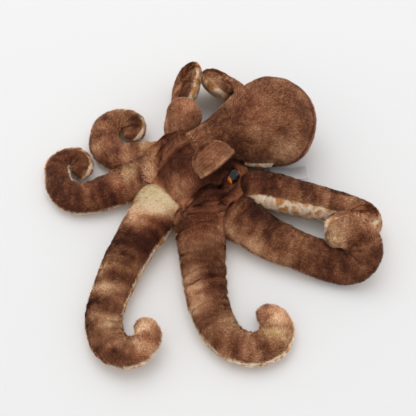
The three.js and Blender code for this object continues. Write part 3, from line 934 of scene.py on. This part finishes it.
share = np.concatenate([
    np.linspace(0.0, BULB_SHARE, 100, endpoint=False),
    BULB_SHARE + (1 - BULB_SHARE) * np.sin(np.linspace(0, math.pi / 2, 51))[:-1],
])
mantle_angles = turns(MANTLE_COLUMNS)
radius = mantle_radius(share) - PILE_DEPTH
radius[-1] = max(radius[-1], 1.0)
ring = np.stack([-np.cos(mantle_angles), 0 * mantle_angles, np.sin(mantle_angles)], 1)
mantle_grid = mantle_middle(share)[:, None] + np.maximum(radius, 1.0)[:, None, None] * ring[None]
flat = mantle_grid.reshape(-1, 3)
push = 0.9 * ripple(flat, 34, MANTLE_SEED + 4) + 0.3 * ripple(flat, 12, MANTLE_SEED + 5)
push -= 2.0 * bump(mantle_seam(flat), 1.5)
push += 3.5 * mantle_gusset(flat)
neck_gather = bump(flat[:, 1] - 4, 14)
push -= 0.8 * neck_gather * (0.5 + 0.5 * np.cos(np.arctan2(flat[:, 2] - 50, flat[:, 0]) * 11)) ** 2
mantle_grid = pushed(mantle_grid, grid_normals(mantle_grid), push)
mantle = sew("mantle_cloth", mantle_grid, cloth_marks(mantle_grid, mantle_dye), PLUSH)
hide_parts("mantle")


def in_mantle(points, clear):
    share = (points[:, 1] - NECK_Y) / (MANTLE_END - NECK_Y)
    off = points - mantle_middle(np.clip(share, 0, 1))
    reach = mantle_radius(share) - PILE_DEPTH - clear
    return (share > 0) & (share < 1) & (np.hypot(off[:, 0], off[:, 2]) < reach)


coats.append(dict(
    name="mantle_pile", grid=mantle_grid, normal=grid_normals(mantle_grid),
    colouring=lambda row, column, points: mantle_dye(points),
    unwrap=lambda row, column: (row / MANTLE_ROWS, column / MANTLE_COLUMNS),
    edge=None, holds=in_mantle, density=2.0, length=2.3, width=0.55,
    slot="brown_plush", lie=(0.15, 1.0, -0.25)))

# ------ pile
# The pile of the plush: short strands standing thick on the cloth and brushed one way on each
# piece, longer and frayed where two cloths are sewn edge to edge.

PATCH = 0.003             # size of a strand's patch on the unwrapped cloth
BURIED = 0.8              # strands this near to the table or this far inside a piece are left out
STRAND_LEAN = 42.0        # degrees from upright at the root, and how much more at the tip
TIP_LEAN = 22.0
STRAND_BEND = 0.55        # the share of its length at which a strand bends
STRAND_SHAPE = np.array([(0, 0), (1, 0), (0.1, STRAND_BEND), (0.9, STRAND_BEND), (0.5, 1)])
STRAND_FACES = np.array([(0, 1, 3), (0, 3, 2), (2, 3, 4)])


def grow(coat, seed):
    """The pile of one piece, all its strands in one mesh."""
    rng = np.random.default_rng(seed)
    grid, normals = coat["grid"], coat["normal"]
    columns = grid.shape[1]
    nexts = np.roll(grid, -1, axis=1)
    across = np.linalg.norm(nexts - grid, axis=2)
    down = np.linalg.norm(grid[1:] - grid[:-1], axis=2)
    area = down * (across[:-1] + across[1:]) / 2
    count = np.floor(area * coat["density"] + rng.random(area.shape)).astype(int)
    cell = np.repeat(np.arange(area.size), count.reshape(-1))
    row, column = cell // columns, cell % columns
    u, v = rng.random(len(cell)), rng.random(len(cell))

    def between(values):
        wrapped = np.roll(values, -1, axis=1)
        right, down = u[:, None], v[:, None]
        above = values[row, column] * (1 - right) + wrapped[row, column] * right
        below = values[row + 1, column] * (1 - right) + wrapped[row + 1, column] * right
        return above * (1 - down) + below * down

    root = between(grid)
    normal = unit(between(normals))
    along = between(np.gradient(grid, axis=0))
    row_at, column_at = row + v, column + u

    buried = np.zeros(len(root), bool)
    for other in coats:
        if other is not coat:
            buried |= other["holds"](root, BURIED)
    buried |= root[:, 2] < BURIED
    root, normal, along, row_at, column_at = (
        values[~buried] for values in (root, normal, along, row_at, column_at))
    count = len(root)

    aim = along if coat["lie"] is None else np.broadcast_to(coat["lie"], along.shape)
    lie = unit(aim - normal * (aim * normal).sum(axis=1, keepdims=True))
    yaw = 0.5 * ripple(root, 13, seed + 1) + rng.normal(0, 0.28, count)
    turned = np.cross(normal, lie)
    lie = lie * np.cos(yaw)[:, None] + turned * np.sin(yaw)[:, None]
    lean = np.radians(STRAND_LEAN + 10 * ripple(root, 7, seed + 2) + rng.normal(0, 8, count))
    length = coat["length"] * rng.uniform(0.75, 1.15, count)
    if coat["edge"] is not None:
        frayed = bump(coat["edge"](row_at, column_at), 1.1)
        lean *= 1 - 0.5 * frayed
        length *= 1 + 0.35 * frayed
    tip_lean = lean + math.radians(TIP_LEAN)
    first = normal * np.cos(lean)[:, None] + lie * np.sin(lean)[:, None]
    second = normal * np.cos(tip_lean)[:, None] + lie * np.sin(tip_lean)[:, None]
    twist = rng.normal(0, 0.5, count)
    flank = unit(np.cross(first, normal))
    flank = flank * np.cos(twist)[:, None] + np.cross(first, flank) * np.sin(twist)[:, None]
    half_width = (coat["width"] * rng.uniform(0.8, 1.2, count) / 2)[:, None]
    middle = root + first * (length * STRAND_BEND)[:, None]
    tip = middle + second * (length * (1 - STRAND_BEND))[:, None]
    base = root - normal * 0.25
    points = np.stack([base - flank * half_width, base + flank * half_width,
                       middle - flank * half_width * 0.8, middle + flank * half_width * 0.8, tip], 1)
    points[:, :, 2] = np.maximum(points[:, :, 2], 0.15)

    mesh = bpy.data.meshes.new(coat["name"])
    faces = (np.arange(count)[:, None, None] * 5 + STRAND_FACES[None]).reshape(-1, 3)
    mesh.vertices.add(count * 5)
    mesh.vertices.foreach_set("co", to_scene(points.reshape(-1, 3)).astype(np.float32).reshape(-1))
    mesh.loops.add(len(faces) * 3)
    mesh.loops.foreach_set("vertex_index", faces.astype(np.int32).reshape(-1))
    mesh.polygons.add(len(faces))
    mesh.polygons.foreach_set("loop_start", np.arange(0, len(faces) * 3, 3, dtype=np.int32))
    mesh.update()
    tone, tint, belly = coat["colouring"](row_at, column_at, root)
    marks = dict(tone=tone, tint=tint, belly=belly, strand=rng.random(count))
    for mark, values in marks.items():
        write_mark(mesh, mark, np.repeat(values, 5))
    # rise, which the plush finish turns into painted shade at the roots and painted sheen at the tips.
    write_mark(mesh, "rise", np.tile([0, 0, 0.6, 0.6, 1], count))
    u_at, v_at = coat["unwrap"](row_at, column_at)
    home = np.stack([np.clip(u_at, 0, 1), np.clip(v_at, 0, 1)], 1) * (1 - 2 * PATCH)
    patch = home[:, None] + STRAND_SHAPE[None] * PATCH + PATCH / 2
    corners = patch.reshape(-1, 2)[faces.reshape(-1)]
    mesh.uv_layers.new(name="OFBake").data.foreach_set("uv", corners.astype(np.float32).reshape(-1))
    facing = unit(normal * 0.8 + first * 0.35)
    mesh.shade_smooth()
    mesh.normals_split_custom_set_from_vertices(np.repeat(facing, 5, axis=0).tolist())
    mesh.materials.append(PILE)
    piece = put(coat["name"], mesh)
    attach(piece, "root")


for number, coat in enumerate(coats):
    grow(coat, 900 + 10 * number)

# ------ eyes
# Domed safety eyes of clear acrylic over a painted disc: an amber iris crossed by a broad
# upright black pupil. Each has a stem through the cloth, held by a washer inside.

EYE_PLACE = (37.3, 12.5, 39.0)
EYE_AZIMUTH = 17.0
EYE_ELEVATION = 10.0
EYE_RADIUS = 8.0
EYE_DOME = 4.6
EYE_COLUMNS = 64


def eye_finish():
    finish = Finish("eye_acrylic")
    across = finish.mark("across")
    iris = finish.ramp(finish.mark("out"), [
        (0.0, (255, 170, 30)),
        (0.75, (246, 128, 10)),
        (0.93, (170, 70, 5)),
        (1.0, (20, 10, 6)),
    ])
    bar = finish.ramp(across, [(0.0, (0, 0, 0)), (0.60, (0, 0, 0)), (0.64, (255, 255, 255))])
    colour = finish.mix(bar, shade(12, 13, 15), iris)
    finish.set("Base Color", colour)
    finish.set("Roughness", 0.12)
    finish.set("Specular IOR Level", 0.2)
    finish.set("Coat Weight", 1.0)
    finish.set("Coat Roughness", 0.03)
    finish.set("Coat IOR", 1.35)
    return finish.material


EYE_ACRYLIC = eye_finish()


def make_eye(side):
    mirror = 1 if side == "left" else -1
    azimuth, elevation = math.radians(EYE_AZIMUTH), math.radians(EYE_ELEVATION)
    facing = np.array([math.cos(elevation) * math.cos(azimuth), math.cos(elevation) * math.sin(azimuth),
                       math.sin(elevation)]) * (mirror, 1, 1)
    level = unit(np.cross((0, 0, 1), facing))
    upright = np.cross(facing, level)
    sphere = (EYE_RADIUS ** 2 + EYE_DOME ** 2) / (2 * EYE_DOME)
    widest = math.asin(EYE_RADIUS / sphere)
    polar = np.linspace(0.01, widest, 24)
    profile = [(sphere * math.sin(a), sphere * math.cos(a) - (sphere - EYE_DOME)) for a in polar]
    profile += [(EYE_RADIUS * 0.99, -0.5), (EYE_RADIUS * 0.9, -0.9), (EYE_RADIUS * 0.7, -3.2)]
    turn = turns(EYE_COLUMNS)
    place = np.array(EYE_PLACE) * (mirror, 1, 1)
    ring = level * np.cos(turn)[:, None] + upright * np.sin(turn)[:, None]
    off = np.array([facing * y + ring * r for r, y in profile])
    grid = place + off
    across = np.abs(off @ level) / EYE_RADIUS
    out = np.linalg.norm(off - (off @ facing)[:, :, None] * facing, axis=2) / EYE_RADIUS
    piece = sew(f"eye_{side}_dome", grid, dict(across=across, out=out), EYE_ACRYLIC)
    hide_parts(f"eye_{side}")


for side in ("left", "right"):
    make_eye(side)

# ------ label
# A blank satin ribbon sewn in under the mantle on the left, lying over the hollow there.

LABEL_LENGTH = 34.0
LABEL_WIDTH = 24.0
LABEL_THICKNESS = 0.5
LABEL_SAG = 2.4
LABEL_PLACE = (31.0, 53.0, 14.0)
LABEL_TILT = -28.0
LABEL_HEADING = 62.0


def make_label():
    lengths = np.linspace(0, LABEL_LENGTH, 41)
    widths = np.linspace(-LABEL_WIDTH / 2, LABEL_WIDTH / 2, 25)
    tilt, heading = math.radians(LABEL_TILT), math.radians(LABEL_HEADING)
    x, y = np.meshgrid(lengths, widths, indexing="ij")
    sag = 0.5 * np.sin(x / 5 + y / 6) - LABEL_SAG * np.sin(math.pi * x / LABEL_LENGTH)
    points = []
    for half in (LABEL_THICKNESS / 2, -LABEL_THICKNESS / 2):
        z = half + sag
        out, up = y * math.cos(tilt) - z * math.sin(tilt), y * math.sin(tilt) + z * math.cos(tilt)
        points.append(np.stack([x * math.cos(heading) - out * math.sin(heading),
                                x * math.sin(heading) + out * math.cos(heading), up], 2).reshape(-1, 3))
    points = np.vstack(points) + LABEL_PLACE
    rows, columns = len(lengths), len(widths)
    index = np.arange(rows * columns).reshape(rows, columns)
    top = np.stack([index[:-1, :-1], index[1:, :-1], index[1:, 1:], index[:-1, 1:]], 2).reshape(-1, 4)
    below = (top + rows * columns)[:, ::-1]
    rim = np.concatenate([index[0], index[1:, -1], index[-1, -2::-1], index[-2:0:-1, 0]])
    after = np.roll(rim, -1)
    sides = np.stack([rim, after, after + rows * columns, rim + rows * columns], 1)
    mesh = bpy.data.meshes.new("label_ribbon")
    faces = top.tolist() + below.tolist() + sides.tolist()
    mesh.from_pydata(to_scene(points).tolist(), [], faces)
    mesh.validate()
    mesh.shade_smooth()
    finish = Finish("label_satin")
    place = finish.node("ShaderNodeTexCoord").outputs["Object"]
    weave = finish.node("ShaderNodeTexWave", wave_type="BANDS")
    weave.inputs["Scale"].default_value = 900
    weave.inputs["Distortion"].default_value = 1.5
    finish.join(place, weave.inputs["Vector"])
    threads = [(0.0, (186, 184, 188)), (1.0, (250, 248, 248))]
    colour = finish.ramp(weave.outputs["Fac"], threads)
    finish.set("Base Color", colour)
    finish.set("Roughness", 0.4)
    finish.set("Sheen Weight", 0.3)
    mesh.materials.append(finish.material)
    piece = put("label_ribbon", mesh)
    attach(piece, "root")
    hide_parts("label")


make_label()
